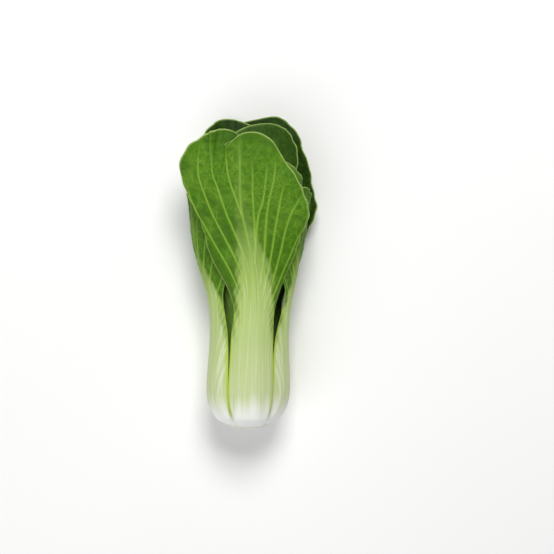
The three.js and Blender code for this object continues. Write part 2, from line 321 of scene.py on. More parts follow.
def skin(leaf, curves, x, t):
    """The leaf's outer skin round the growth axis, before the midrib is raised on it, and its flat place."""
    reach, turn = margin_place(leaf, curves, x, t)
    bladeness = smoothstep(THROAT, SHOULDER, t)
    wave = leaf["wave"] * bladeness * reach ** 3 * (
        np.sin(leaf["waves"] * turn + leaf["phase"])
        + 0.45 * np.sin(2.3 * leaf["waves"] * turn + 1.7 * leaf["phase"]))
    ruffle = RUFFLE * bladeness * reach ** 8 * np.sin(6.1 * leaf["waves"] * turn + 2.3 * np.sin(3.7 * turn))
    shift = dip = crinkled = 0
    if leaf is LEAVES[0]:
        shift, dip, crinkled = fold(x, reach, bladeness)
    half = np.where(t > SHOULDER, leaf["blade_half"], through(curves["half"], np.minimum(t, SHOULDER)))
    sideways = np.minimum(1, np.abs(x) / half)
    radius = through(curves["radius"], t)
    lifted = radius + (through(curves["open"], t) - through(curves["tuck"], t)) * sideways ** 2
    lifted = lifted + wave + ruffle + crinkled - dip
    swell = swelling(leaf, reach, turn, bladeness)
    turned = leaf["turn"] + leaf["lean"] * smoothstep(0.5, 1, t) + through(curves["sway"], t)
    angle = np.radians(turned) + (x * swell + shift) / radius
    shoulder = leaf["length"] * SHOULDER_SHARE
    level = through(curves["height"], t)
    height = np.where(t > SHOULDER, shoulder + (level - shoulder) * swell, level)
    flat = np.stack([x * swell, height], axis=-1)
    height = height - leaf["skew"] * x * bladeness
    pressed = smoothstep(FLATTEN_FROM, FLATTEN_TO, height)
    place = np.stack([
        lifted * np.sin(angle) * (1 + SPREAD * pressed),
        height,
        lifted * np.cos(angle) * (1 - PRESS * pressed),
    ], axis=-1)
    return place, flat


def leaf_faces(leaf, curves, x, t):
    """The outer and inner faces, the direction outwards, and the flat place of each point."""
    step = 0.01
    here, flat = skin(leaf, curves, x, t)
    across = skin(leaf, curves, x + step, t)[0] - skin(leaf, curves, x - step, t)[0]
    low, high = np.maximum(t - step / 10, 0), np.minimum(t + step / 10, 1)
    along = skin(leaf, curves, x, high)[0] - skin(leaf, curves, x, low)[0]
    outward = np.cross(across, along)
    outward /= np.linalg.norm(outward, axis=-1, keepdims=True)
    bladeness = smoothstep(THROAT, SHOULDER, t)
    rib_half = through(curves["rib"], t) * (1 + 0.5 * bladeness)
    bulge = np.maximum(0, 1 - (x / rib_half) ** 2) ** (1 + bladeness)
    rib = bulge * (through(curves["thick"], t) - EDGE_THICKNESS)
    outside = through(curves["rib_outside"], t)
    reach, _ = margin_place(leaf, curves, x, t)
    thin = mix(EDGE_THICKNESS, BLADE_THICKNESS, bladeness)
    thin = mix(thin, MARGIN_THICKNESS, smoothstep(MARGIN_FROM, 1, reach))
    outer = here + outward * (rib * outside)[..., None]
    inner = here - outward * (thin + rib * (1 - outside))[..., None]
    return outer, inner, outward, flat, reach


def bezier(start, pull, end, count):
    """Points along a curve that leaves start towards pull and ends at end."""
    u = np.linspace(0, 1, count)[:, None]
    start, pull, end = (np.asarray(p, float) for p in (start, pull, end))
    return (1 - u) ** 2 * start + 2 * u * (1 - u) * pull + u * u * end


def branch(line, at, side, length, lean_degrees):
    """A thinner vein that leaves a line at a share of its length, and bends back towards its direction."""
    index = int(round(at * (len(line) - 2)))
    ahead = line[index + 1] - line[index]
    ahead = ahead / max(np.linalg.norm(ahead), 1e-9)
    turned = math.radians(lean_degrees) * side
    away = np.array([ahead[0] * math.cos(turned) - ahead[1] * math.sin(turned),
                     ahead[0] * math.sin(turned) + ahead[1] * math.cos(turned)])
    start = line[index]
    pull = start + away * length * 0.55
    return bezier(start, pull, pull + (away * 0.55 + ahead * 0.45) * length * 0.5, 6)


def smooth_line(points, count):
    """A line of evenly spaced places on a smooth curve through a few points."""
    points = np.asarray(points, float)
    t = np.linspace(0, 1, count)
    return np.stack([through(points[:, 0], t), through(points[:, 1], t)], axis=1)


def wing_lines(leaf, draw):
    """The pale veins that run down and in from a stalk's margins."""
    lines = []
    for side in (-1, 1):
        for k in range(WING_VEINS):
            top = mix(50, 104, (k + draw.uniform(-0.3, 0.3)) / WING_VEINS)
            start = (side * leaf["stalk_half"] * 0.98, top)
            pull = (side * leaf["stalk_half"] * 0.62, top - 14)
            end = (side * leaf["stalk_half"] * draw.uniform(0.36, 0.5), top - draw.uniform(30, 42))
            lines.append(bezier(start, pull, end, 14))
    return lines


def painted_fold_light(leaf, x, t, reach):
    """Painted shade and highlight for the widest leaf's fold: above 0 where the fold and crinkles lie deep,
    where shade is painted, and below 0 where a crinkle stands up, where a highlight is painted.
    """
    if leaf is not LEAVES[0]:
        return np.zeros(x.shape)
    _, dip, crinkled = fold(x, reach, smoothstep(THROAT, SHOULDER, t))
    return 0.7 * np.clip(dip / FOLD_DEPTH, 0, 1) ** 2 - 0.5 * np.clip(crinkled / CRINKLE["height"], -1, 1)


def vein_lines(leaf, draw):
    """The blade's veins on the flat leaf: main ones that rise steeply from the stalk, and their branches."""
    if leaf is LEAVES[0]:
        main = [smooth_line(points, 20) for points in FRONT_VEINS]
    else:
        main = fanned_veins(leaf, draw)
    fine = []
    for line in main:
        outward = 1 if line[-1][0] > 0.5 else -1
        for k in range(BRANCHES):
            at = mix(0.34, 0.96, (k + draw.uniform(0, 0.8)) / BRANCHES)
            side = -outward if k % 3 else outward
            twig = branch(line, at, side, draw.uniform(7, 14), draw.uniform(30, 50))
            fine.append(twig)
            for twig_at in (0.35, 0.75):
                turned = side if twig_at < 0.6 else -side
                fine.append(branch(twig, twig_at, turned, draw.uniform(3, 6), draw.uniform(40, 62)))
    return main, fine


def fanned_veins(leaf, draw):
    """Main veins by rule: the outermost leave the stalk lowest, and each rises to the margin."""
    reach = leaf["blade_half"]
    shoulder = leaf["length"] * SHOULDER_SHARE
    crest = leaf["length"] - shoulder
    skirt = shoulder - THROAT_HEIGHT
    main = [smooth_line([(0, THROAT_HEIGHT - 6), (0, shoulder), (0, leaf["length"] - 3)], 20)]
    for side in (-1, 1):
        for k in range(SIDE_VEINS):
            share = (k + draw.uniform(-0.25, 0.25)) / (SIDE_VEINS - 1)
            turn = math.radians(mix(-26, 72, share))
            low = mix(THROAT_HEIGHT - 16, shoulder - 8, max(share, 0))
            start = (side * mix(0.32, 0.05, max(share, 0)) * leaf["neck_half"], low)
            end = (side * reach * math.cos(turn) * 0.93,
                   shoulder + (crest if turn > 0 else skirt) * math.sin(turn) * 0.93)
            middle = (mix(start[0], end[0], 0.56), mix(low, end[1], 0.5))
            main.append(smooth_line([start, middle, end], 20))
    return main


def nearness(points, lines, wide, narrow):
    """For each point, how much it lies on one of the lines, which taper, and its distance to the nearest."""
    starts = np.concatenate([line[:-1] for line in lines])
    ends = np.concatenate([line[1:] for line in lines])
    widths = np.concatenate([np.linspace(wide, narrow, len(line) - 1) for line in lines])
    strengths = np.concatenate([np.interp(np.linspace(0, 1, len(line) - 1), *VEIN_FADE) for line in lines])
    run = ends - starts
    length = np.maximum((run ** 2).sum(axis=1), 1e-9)
    on_line = np.zeros(len(points))
    nearest = np.full(len(points), 1e9)
    for first in range(0, len(points), 4000):
        part = points[first:first + 4000, None, :] - starts[None]
        share = np.clip((part * run[None]).sum(axis=2) / length[None], 0, 1)
        off = np.sqrt(((part - share[..., None] * run[None]) ** 2).sum(axis=2))
        on_line[first:first + 4000] = (strengths[None] * np.exp(-(off / widths[None]) ** 2)).max(axis=1)
        nearest[first:first + 4000] = off.min(axis=1)
    return on_line, nearest


def rim_order(columns, rows):
    """The places of the grid's edge, once round."""
    last_i, last_j = columns - 1, rows - 1
    return ([(i, 0) for i in range(last_i)] + [(last_i, j) for j in range(last_j)]
            + [(i, last_j) for i in range(last_i, 0, -1)] + [(0, j) for j in range(last_j, 0, -1)])


def column_places(leaf, columns):
    """Where the columns lie across a leaf, from -1 to 1: closer together where the widest leaf folds."""
    places = np.linspace(-1, 1, 2001)
    density = np.ones(len(places))
    if leaf is LEAVES[0]:
        density += 2 * np.exp(-((places + 0.45) / 0.28) ** 2)
    run = np.concatenate([[0], np.cumsum((density[1:] + density[:-1]) / 2)])
    return np.interp(np.linspace(0, run[-1], columns), run, places)


def grid_quads(columns, rows, rim_i, rim_j):
    """The faces of both grids and of the rounded rim between them, and the grid's points along the rim."""
    count = columns * rows
    index = np.arange(count).reshape(rows, columns)
    p, q = index[:-1, :-1].ravel(), index[:-1, 1:].ravel()
    r, s = index[1:, 1:].ravel(), index[1:, :-1].ravel()
    edge = index[rim_j, rim_i]
    next_edge = np.roll(edge, -1)
    middle = 2 * count + np.arange(len(edge))
    next_middle = np.roll(middle, -1)
    quads = np.concatenate([
        np.stack([p, q, r, s], axis=1),
        np.stack([p, s, r, q], axis=1) + count,
        np.stack([edge, middle, next_middle, next_edge], axis=1),
        np.stack([middle, edge + count, next_edge + count, next_middle], axis=1),
    ])
    return quads, edge


def smooth_mesh(name, points, faces):
    """A mesh with smooth faces."""
    mesh = bpy.data.meshes.new(name)
    mesh.from_pydata(points, [], faces)
    mesh.polygons.foreach_set("use_smooth", np.ones(len(faces), bool))
    mesh.update()
    return mesh


def greenness(leaf, curves, x, t, up):
    """How green each place is, from 0 on the pale stalk to 1 on the blade. Young leaves turn green lower."""
    young = LEAVES.index(leaf) >= OUTER_LEAVES
    green_from = YOUNG_GREEN_FROM if young else GREEN_FROM
    uneven = 0.1 * np.sin(0.31 * up + 0.9 * x) + 0.07 * np.sin(0.83 * up - 1.7 * x)
    aside = np.abs(x) / through(curves["rib"], t) + uneven
    core = 1 - smoothstep(0.66, 1.3, aside) * smoothstep(green_from, green_from + GREEN_OVER, up)
    if young:
        ripe = smoothstep(YOUNG_GREEN_FROM + 4, THROAT_HEIGHT - 28, up)
    else:
        ripe = smoothstep(THROAT_HEIGHT - 4, leaf["length"] * SHOULDER_SHARE + 4, up)
    return 1 - core * (1 - 0.9 * ripe)


def finish_values(leaf, curves, x, t, flat, reach):
    """What a leaf's finish reads at each point of its grid."""
    number = LEAVES.index(leaf)
    draw = np.random.RandomState(FIRST_SEED + number)
    flat_points = flat.reshape(-1, 2)
    main, fine = vein_lines(leaf, draw)
    on_main, near_main = nearness(flat_points, main, *MAIN_VEIN)
    on_fine, near_fine = nearness(flat_points, fine, *FINE_VEIN)
    up = flat[..., 1]
    veined = smoothstep(THROAT_HEIGHT - 30, THROAT_HEIGHT + 12, up)
    green = greenness(leaf, curves, x, t, up)
    wing = np.zeros(t.shape)
    if 0 < number < OUTER_LEAVES:
        on_wing, _ = nearness(flat_points, wing_lines(leaf, draw), *WING_VEIN)
        wing = on_wing.reshape(t.shape) * (1 - green)
    half = through(curves["half"], np.minimum(t, SHOULDER))
    return {
        "flat": np.stack([x, up, np.full(t.shape, float(number * PATTERN_STEP))], axis=-1),
        "vein": on_main.reshape(t.shape) * veined,
        "veinlet": on_fine.reshape(t.shape) * veined,
        "swollen": smoothstep(0, SWOLLEN_AT, np.minimum(near_main, near_fine)).reshape(t.shape),
        "green": green,
        "wing": wing,
        # Painted shade in the fold's dips and painted highlight on its crinkles.
        "fold_shade_and_highlight": painted_fold_light(leaf, x, t, reach),
        "margin": smoothstep(0.972, 0.996, reach),
        "side": np.abs(x) / np.maximum(half, 1),
    }


def leaf_mesh(leaf, grid, name):
    """One closed leaf: two grids a blade's thickness apart with a rounded rim, and what its finish reads."""
    across, up_stalk, up_blade = grid
    columns, rows = across + 1, up_stalk + up_blade + 1
    count = columns * rows
    curves = stations(leaf)
    stalk_rows = np.linspace(0, THROAT, up_stalk, endpoint=False)
    blade_rows = np.linspace(THROAT, 1, up_blade + 1)
    a, v = np.meshgrid(column_places(leaf, columns), np.concatenate([stalk_rows, blade_rows]))
    x, t = flat_place(leaf, curves, a, v)
    outer, inner, outward, flat, reach = leaf_faces(leaf, curves, x, t)

    low_z = -REST_HEIGHT
    outer[..., 2] = np.maximum(outer[..., 2], low_z)
    inner[..., 2] = np.maximum(inner[..., 2], low_z + MARGIN_THICKNESS)

    rim_i, rim_j = np.array(rim_order(columns, rows)).T
    next_i, next_j = np.clip(rim_i, 1, columns - 2), np.clip(rim_j, 1, rows - 2)
    outer_rim, inner_rim = outer[rim_j, rim_i], inner[rim_j, rim_i]
    away = outer_rim - outer[next_j, next_i]
    away /= np.maximum(np.linalg.norm(away, axis=-1, keepdims=True), 1e-9)
    thickness = np.linalg.norm(outer_rim - inner_rim, axis=-1, keepdims=True)
    middle = (outer_rim + inner_rim) / 2 + away * np.minimum(0.4 * thickness, RIM_BULGE)

    place = np.concatenate([outer.reshape(-1, 3), inner.reshape(-1, 3), middle])
    place[:, 2] = np.maximum(place[:, 2], low_z)
    quads, edge = grid_quads(columns, rows, rim_i, rim_j)
    mesh = smooth_mesh(name, (place * MM + np.array(AXIS)).tolist(), quads.tolist())

    for key, values in {"outward": outward, **finish_values(leaf, curves, x, t, flat, reach)}.items():
        values = values.reshape(count, *values.shape[2:])
        on_rim = np.ones(len(edge)) if key == "margin" else values[edge]
        store(mesh, key, np.concatenate([values, values, on_rim]))
    store(mesh, "inside", np.concatenate([np.zeros(count), np.ones(count), np.full(len(edge), 0.5)]))
    return mesh


def store(mesh, name, values):
    """Keeps a value or a vector for each point of the mesh, for its finish to read."""
    kind = "FLOAT_VECTOR" if values.ndim == 2 else "FLOAT"
    attribute = mesh.attributes.new(name, kind, "POINT")
    attribute.data.foreach_set("vector" if values.ndim == 2 else "value", values.astype(np.float32).ravel())


class Wiring:
    """Puts nodes in a tree and joins them."""

    def __init__(self, tree):
        self.tree = tree

    def put(self, kind, inputs=None, **settings):
        made = self.tree.nodes.new(kind)
        for name, value in settings.items():
            setattr(made, name, value)
        for key, value in (inputs or {}).items():
            if isinstance(value, bpy.types.NodeSocket):
                self.tree.links.new(value, made.inputs[key])
            else:
                made.inputs[key].default_value = value
        return made

    def first(self, kind, inputs=None, **settings):
        return self.put(kind, inputs, **settings).outputs[0]

    def math(self, operation, *values, clamp=False):
        return self.first("ShaderNodeMath", dict(enumerate(values)), operation=operation, use_clamp=clamp)

    def times(self, a, b, clamp=False):
        return self.math("MULTIPLY", a, b, clamp=clamp)

    def plus(self, a, b):
        return self.math("ADD", a, b)

    def minus(self, a, b):
        return self.math("SUBTRACT", a, b)

    def rest(self, share):
        return self.minus(1.0, share)

    def ranged(self, value, low, high, to_low=0.0, to_high=1.0, smooth=True):
        values = {"Value": value, "From Min": low, "From Max": high, "To Min": to_low, "To Max": to_high}
        kind = "SMOOTHSTEP" if smooth else "LINEAR"
        return self.first("ShaderNodeMapRange", values, interpolation_type=kind)

    def blend(self, share, a, b):
        return self.put("ShaderNodeMix", {0: share, 6: a, 7: b}, data_type="RGBA").outputs[2]

    def vector(self, operation, *values):
        return self.first("ShaderNodeVectorMath", dict(enumerate(values)), operation=operation)

    def stretched(self, vector, scale):
        return self.vector("MULTIPLY", vector, scale)

    def parts(self, vector):
        return self.put("ShaderNodeSeparateXYZ", {0: vector}).outputs

    def noise(self, vector, scale, detail=2.0, roughness=0.5):
        return self.first("ShaderNodeTexNoise", {"Vector": vector, "Scale": scale, "Detail": detail,
                                                 "Roughness": roughness})

    def net(self, vector, scale):
        return self.first("ShaderNodeTexVoronoi", {"Vector": vector, "Scale": scale},
                          feature="DISTANCE_TO_EDGE")

    def read(self, name, output="Fac"):
        """A value that the mesh stores for its finish."""
        return self.put("ShaderNodeAttribute", attribute_name=name).outputs[output]


def sockets(tree, side, named):
    for name, kind in named.items():
        tree.interface.new_socket(name=name, in_out=side, socket_type=f"NodeSocket{kind}")


def geometry_tree(name, inputs):
    """A Geometry Nodes tree with its inputs, and nothing in it yet."""
    tree = bpy.data.node_groups.new(name, "GeometryNodeTree")
    sockets(tree, "INPUT", {"Geometry": "Geometry", **inputs, "Finish": "Material"})
    sockets(tree, "OUTPUT", {"Geometry": "Geometry"})
    w = Wiring(tree)
    return w, w.put("NodeGroupInput").outputs


def end_tree(w, given, geometry):
    """Makes a tree's instances real and gives them the finish."""
    whole = w.first("GeometryNodeRealizeInstances", {"Geometry": geometry})
    painted = w.first("GeometryNodeSetMaterial", {"Geometry": whole, "Material": given["Finish"]})
    w.put("NodeGroupOutput", {"Geometry": painted})
    return w.tree


def relief_tree():
    """Raises the veins, the swollen tissue between them and the stalk's strings on a leaf's faces."""
    w, given = geometry_tree("leaf relief", {"Vein Height": "Float", "Swelling": "Float",
                                             "String Height": "Float", "Resting Thickness": "Float"})

    def stored(name, kind="FLOAT"):
        return w.put("GeometryNodeInputNamedAttribute", {"Name": name}, data_type=kind).outputs["Attribute"]

    flat = stored("flat", "FLOAT_VECTOR")
    green = stored("green")
    veins = w.plus(stored("vein"), w.times(stored("veinlet"), 0.38))
    raised = w.times(veins, given["Vein Height"])
    patches = w.noise(flat, 0.16)
    pillow = w.times(stored("swollen"), w.ranged(patches, 0.25, 0.75, 0.25, 1.3))
    cells = w.ranged(w.net(flat, 0.42), 0.0, 0.22, 0.0, 0.28)
    tissue = w.times(w.times(w.plus(pillow, cells), green), given["Swelling"])
    strings = w.noise(w.stretched(flat, (0.42, 0.006, 1.0)), 1.0, 3.0, 0.55)
    stalk = w.times(w.rest(green), given["String Height"])
    ridged = w.times(w.minus(strings, 0.5), stalk)
    winged = w.times(stored("wing"), w.times(given["Vein Height"], 0.5))
    total = w.plus(w.plus(w.plus(raised, winged), tissue), ridged)
    offset = w.first("ShaderNodeVectorMath", {0: stored("outward", "FLOAT_VECTOR"), "Scale": total},
                     operation="SCALE")
    moved = w.first("GeometryNodeSetPosition", {"Geometry": given["Geometry"], "Offset": offset})

    # What rests on the floor is pressed flat: the outer face on it, the inner face a blade's thickness above.
    place = w.parts(w.first("GeometryNodeInputPosition"))
    lowest = w.times(stored("inside"), given["Resting Thickness"])
    resting = w.first("ShaderNodeCombineXYZ", {
        "X": place["X"], "Y": place["Y"], "Z": w.math("MAXIMUM", place["Z"], lowest)})
    return end_tree(w, given, w.first("GeometryNodeSetPosition", {"Geometry": moved, "Position": resting}))


def bundle_tree():
    """Sets the ends of the stem's vessels on its cut face, each turned from the last as leaves are."""
    w, given = geometry_tree("vessel ends", {"Count": "Int", "Inner Radius": "Float", "Outer Radius": "Float",
                                             "Vessel Radius": "Float", "Cut End": "Vector"})
    line = w.first("GeometryNodeMeshLine", {"Count": given["Count"], "Offset": (0, 0, 0)})
    index = w.first("GeometryNodeInputIndex")
    share = w.math("DIVIDE", index, given["Count"])
    turn = w.times(index, math.radians(GOLDEN_ANGLE))
    span = w.minus(given["Outer Radius"], given["Inner Radius"])
    radius = w.plus(given["Inner Radius"], w.times(span, w.math("SQRT", share)))
    ring = w.first("ShaderNodeCombineXYZ", {
        "X": w.times(radius, w.math("COSINE", turn)), "Z": w.times(radius, w.math("SINE", turn))})
    spot = w.vector("ADD", ring, given["Cut End"])
    placed = w.first("GeometryNodeSetPosition", {"Geometry": line, "Position": spot})
    bead = w.first("GeometryNodeMeshUVSphere", {"Segments": 8, "Rings": 5, "Radius": given["Vessel Radius"]})
    low, high = VESSEL_SIZES
    size = w.put("FunctionNodeRandomValue", {2: low, 3: high, "Seed": 5}, data_type="FLOAT").outputs[1]
    beads = w.first("GeometryNodeInstanceOnPoints", {"Points": placed, "Instance": bead, "Scale": size})
    joined = w.put("GeometryNodeJoinGeometry")
    for part in (given["Geometry"], beads):
        w.tree.links.new(part, joined.inputs[0])
    return end_tree(w, given, joined.outputs[0])


def grown(obj, tree, values):
    """Gives the object a tree's result as its plain mesh."""
    modifier = obj.modifiers.new(tree.name, "NODES")
    modifier.node_group = tree
    inputs = {item.name: item.identifier for item in tree.interface.items_tree if item.in_out == "INPUT"}
    for name, value in values.items():
        modifier[inputs[name]] = value
    graph = bpy.context.evaluated_depsgraph_get()
    graph.update()
    mesh = bpy.data.meshes.new_from_object(
        obj.evaluated_get(graph), preserve_all_data_layers=True, depsgraph=graph)
    if not mesh.polygons:
        raise RuntimeError(f"{obj.name} came out of {tree.name} without faces")
    obj.modifiers.remove(modifier)
    obj.data = mesh


def link(name, mesh):
    obj = bpy.data.objects.new(name, mesh)
    bpy.context.scene.collection.objects.link(obj)
    return obj


def tint(red, green, blue):
    """A colour as a screen shows it, 0 to 255, in the linear values that a shader takes."""
    def linear(c):
        c /= 255
        return c / 12.92 if c <= 0.04045 else ((c + 0.055) / 1.055) ** 2.4
    return (linear(red), linear(green), linear(blue), 1.0)


def layered(w, given, colour, coats):
    """Lays the group's colours over a first one, each by its share."""
    for share, name in coats:
        colour = w.blend(share, colour, given[name])
    return colour


def stalk_colour(w, given, flat, inside):
    """A white foot, then green that deepens upwards and to the sides, with fine strings along it and painted
    light along its edges.
    """
    up = w.parts(flat)["Y"]
    side = w.read("side")
    broad_strings = w.noise(w.stretched(flat, (0.2, 0.006, 1.0)), 1.0)
    low = w.plus(up, w.times(w.minus(broad_strings, 0.5), 22.0))
    above_foot = w.ranged(low, 5.0, 25.0)
    towards_neck = w.ranged(low, 22.0, 105.0, smooth=False)
    flank = w.times(w.ranged(side, 0.35, 0.95), w.ranged(low, 12.0, 84.0, 0.0, 0.52))
    strings = w.noise(w.stretched(flat, (0.8, 0.014, 1.0)), 1.0, 3.0, 0.6)
    green_string = w.times(w.ranged(strings, 0.46, 0.7), w.times(above_foot, 0.22))
    pale_string = w.times(w.ranged(strings, 0.5, 0.32), 0.2)
    wing = w.times(w.read("wing"), 0.36)
    # Painted light: the stalk's side edges are tinted lime, as light shining through the thin edge into the
    # shade beside it.
    edge = w.times(w.ranged(side, 0.86, 0.97), w.ranged(up, 3.0, 12.0, 0.1, 0.85))
    darker_inside = w.times(inside, w.ranged(up, 30.0, 78.0, 0.0, 0.85))
    stalk = layered(w, given, given["Stalk Foot"], [
        (above_foot, "Stalk Middle"), (towards_neck, "Stalk Neck"), (flank, "Stalk Neck"),
        (green_string, "Stalk Neck"), (pale_string, "Stalk Foot"), (wing, "Stalk Foot"),
        (edge, "Stalk Edge Light"), (darker_inside, "Blade Inside")])
    return stalk, strings


def blade_colour(w, given, flat, inside):
    """Broad patches, fine mottling, a net of paler veinlets, the veins, painted shade on the tissue between
    the veins, and painted shade in the fold's hollows with painted highlights on its crinkles.
    """
    outer_face = w.rest(inside)
    broad = w.ranged(w.noise(flat, 0.06), 0.42, 0.68)
    mottle = w.noise(flat, 0.3)
    outside = layered(w, given, given["Blade Outside"], [
        (w.times(broad, 0.14), "Vein"), (w.ranged(mottle, 0.4, 0.68, 0.0, 0.24), "Blade Inside")])
    within = w.blend(w.ranged(mottle, 0.4, 0.7, 0.0, 0.2), given["Blade Inside"], given["Blade Outside"])
    # Painted shade: on the outer face, tissue away from the veins is darkened towards the inner blade's
    # colour, as the shade of its swelling.
    swollen = w.times(w.read("swollen"), outer_face)

    # The net is drawn on places that are bent a little, so that its cells have no straight sides.
    bend = w.put("ShaderNodeTexNoise", {"Vector": flat, "Scale": 0.35, "Detail": 1.0}).outputs["Color"]
    bent = w.vector("MULTIPLY_ADD", bend, (1.6, 1.6, 1.6), flat)
    net = w.ranged(w.net(bent, 0.4), 0.0, 0.1, 1.0, 0.0)
    fine_net = w.ranged(w.net(bent, 1.0), 0.0, 0.14, 1.0, 0.0)
    pale = w.times(net, 0.08)
    for share in (w.times(fine_net, 0.04), w.times(w.read("veinlet"), 0.27), w.times(w.read("vein"), 0.92)):
        pale = w.math("MAXIMUM", pale, share)
    shown = w.times(pale, w.rest(w.times(inside, 0.55)))
    # Painted shade in the fold's dip and the crinkles' troughs, and a painted highlight on the crinkles'
    # ridges.
    fold_shade_and_highlight = w.times(w.read("fold_shade_and_highlight"), outer_face)
    blade = layered(w, given, w.blend(inside, outside, within), [
        (w.times(swollen, 0.3), "Blade Inside"), (shown, "Vein"),
        (w.times(fold_shade_and_highlight, 0.6, clamp=True), "Blade Inside"), (w.times(fold_shade_and_highlight, -0.4, clamp=True), "Vein")])
    return blade, mottle, fine_net


def tissue_group():
    """The colour and fine height of leaf tissue, from white stalk foot to dark blade, on both faces, with
    painted shade and highlights.
    """
    tree = bpy.data.node_groups.new("leaf tissue", "ShaderNodeTree")
    colours = ("Blade Outside", "Blade Inside", "Vein", "Stalk Foot", "Stalk Middle", "Stalk Neck",
               "Stalk Edge Light", "Rim Highlight")
    sockets(tree, "INPUT", {name: "Color" for name in colours})
    sockets(tree, "OUTPUT", {"Color": "Color", "Roughness": "Float", "Height": "Float"})
    w = Wiring(tree)
    given = w.put("NodeGroupInput").outputs
    flat = w.read("flat", "Vector")
    green, inside = w.read("green"), w.read("inside")
    stalk, strings = stalk_colour(w, given, flat, inside)
    blade, mottle, fine_net = blade_colour(w, given, flat, inside)
    leaf = w.blend(green, stalk, blade)
    # Painted highlight: a paler line along the margins, fading in from 40 to 80 mm up the leaf, the light
    # that a leaf's thin edge catches.
    rim = w.times(w.read("margin"), w.ranged(w.parts(flat)["Y"], 40.0, 80.0, 0.0, 0.8))
    leaf = w.blend(rim, leaf, given["Rim Highlight"])
    rough = w.plus(w.ranged(green, 0.0, 1.0, 0.34, 0.44), w.times(mottle, 0.08))
    cells = w.times(w.rest(fine_net), green)
    height = w.plus(w.times(cells, 0.6), w.times(strings, 0.4))
    w.put("NodeGroupOutput", {"Color": leaf, "Roughness": rough, "Height": height})
    return tree


def new_material(name):
    """A material with nothing in it yet, and the wiring of its nodes."""
    material = bpy.data.materials.new(name)
    material.use_nodes = True
    material.node_tree.nodes.clear()
    return material, Wiring(material.node_tree)


def surface(w, values):
    """Puts the shader on a material."""
    w.put("ShaderNodeOutputMaterial", {"Surface": w.first("ShaderNodeBsdfPrincipled", values)})


def leaf_material(name, tissue, colours):
    """A waxy leaf finish from the shared tissue."""
    material, w = new_material(name)
    leaf = w.put("ShaderNodeGroup", colours, node_tree=tissue).outputs
    bump = w.first("ShaderNodeBump", {"Strength": 0.55, "Distance": 0.0004, "Height": leaf["Height"]})
    surface(w, {"Base Color": leaf["Color"], "Roughness": leaf["Roughness"], "Normal": bump,
                "Subsurface Weight": 0.12, "Subsurface Scale": 0.002, "Subsurface Radius": (0.7, 1.0, 0.35),
                "Specular IOR Level": 0.18})
    return material


def stem_material():
    """Moist cut stem: a cream middle, a pale green ring and a white rim, with a fine dry grain."""
    material, w = new_material("cut stem")
    place = w.put("ShaderNodeTexCoord").outputs["Object"]
    ring = w.parts(w.vector("SUBTRACT", place, tuple(AXIS)))
    radius = w.math("SQRT", w.plus(w.math("POWER", ring["X"], 2.0), w.math("POWER", ring["Z"], 2.0)))
    grain = w.noise(place, 900.0, 4.0, 0.6)
    colour = w.blend(w.ranged(radius, 0.004, 0.0085), tint(224, 226, 200), tint(206, 216, 168))
    colour = w.blend(w.ranged(radius, 0.0095, 0.0112), colour, tint(238, 238, 224))
    colour = w.blend(w.ranged(grain, 0.45, 0.75, 0.0, 0.35), colour, tint(210, 204, 168))
    bump = w.first("ShaderNodeBump", {"Strength": 0.5, "Distance": 0.0004, "Height": grain})
    surface(w, {"Base Color": colour, "Roughness": w.ranged(grain, 0.2, 0.8, 0.35, 0.6), "Normal": bump,
                "Subsurface Weight": 0.15, "Subsurface Scale": 0.004})
    return material


def shared(name, make):
    """A node tree that is made once."""
    return bpy.data.node_groups.get(name) or make()


def build_leaves(leaves, grid, slot_name, youth):
    """The given leaves in one finish, coloured from 0, full grown, to 1, very young."""
    settings = bpy.context.scene.bok_choy
    tissue = shared("leaf tissue", tissue_group)
    material = leaf_material(slot_name.replace("_", " "), tissue, leaf_colours(settings, youth))
    for leaf in leaves:
        node = f"leaf_{LEAVES.index(leaf) + 1:02d}"
        name = f"fine_{node}"
        piece = link(name, leaf_mesh(leaf, FRONT_GRID if leaf is LEAVES[0] else grid, name))
        grown(piece, shared("leaf relief", relief_tree), {
            "Vein Height": settings.vein_height, "Swelling": settings.swelling,
            "String Height": settings.string_height, "Resting Thickness": BLADE_THICKNESS * MM,
            "Finish": material})
        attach(piece, "root")
        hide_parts(node)


def stem_mesh(name):
    """The stem turned round the growth axis, with a finely rounded profile."""
    profile = np.array(STEM_PROFILE, float)
    lengths = np.concatenate([[0], np.cumsum(np.linalg.norm(np.diff(profile, axis=0), axis=1))])
    at = np.linspace(0, lengths[-1], STEM_RINGS + 2)[1:-1]
    radius = np.interp(at, lengths, profile[:, 0])
    height = np.interp(at, lengths, profile[:, 1])
    turns = np.linspace(0, 2 * math.pi, STEM_SIDES, endpoint=False)
    points = [(0, 0, 0)]
    for r, h in zip(radius, height):
        uneven = 1 + 0.012 * np.sin(5 * turns + 1) + 0.008 * np.sin(11 * turns)
        points += [(r * k * math.sin(u), h, r * k * math.cos(u)) for u, k in zip(turns, uneven)]
    points.append((0, profile[-1][1], 0))
    faces = [(0, 1 + k, 1 + (k + 1) % STEM_SIDES) for k in range(STEM_SIDES)]
    for ring in range(STEM_RINGS - 1):
        base = 1 + ring * STEM_SIDES
        for k in range(STEM_SIDES):
            n = (k + 1) % STEM_SIDES
            faces.append((base + k, base + STEM_SIDES + k, base + STEM_SIDES + n, base + n))
    last = 1 + (STEM_RINGS - 1) * STEM_SIDES
    faces += [(last + k, len(points) - 1, last + (k + 1) % STEM_SIDES) for k in range(STEM_SIDES)]
    return smooth_mesh(name, [Vector(point) * MM + AXIS for point in points], faces)


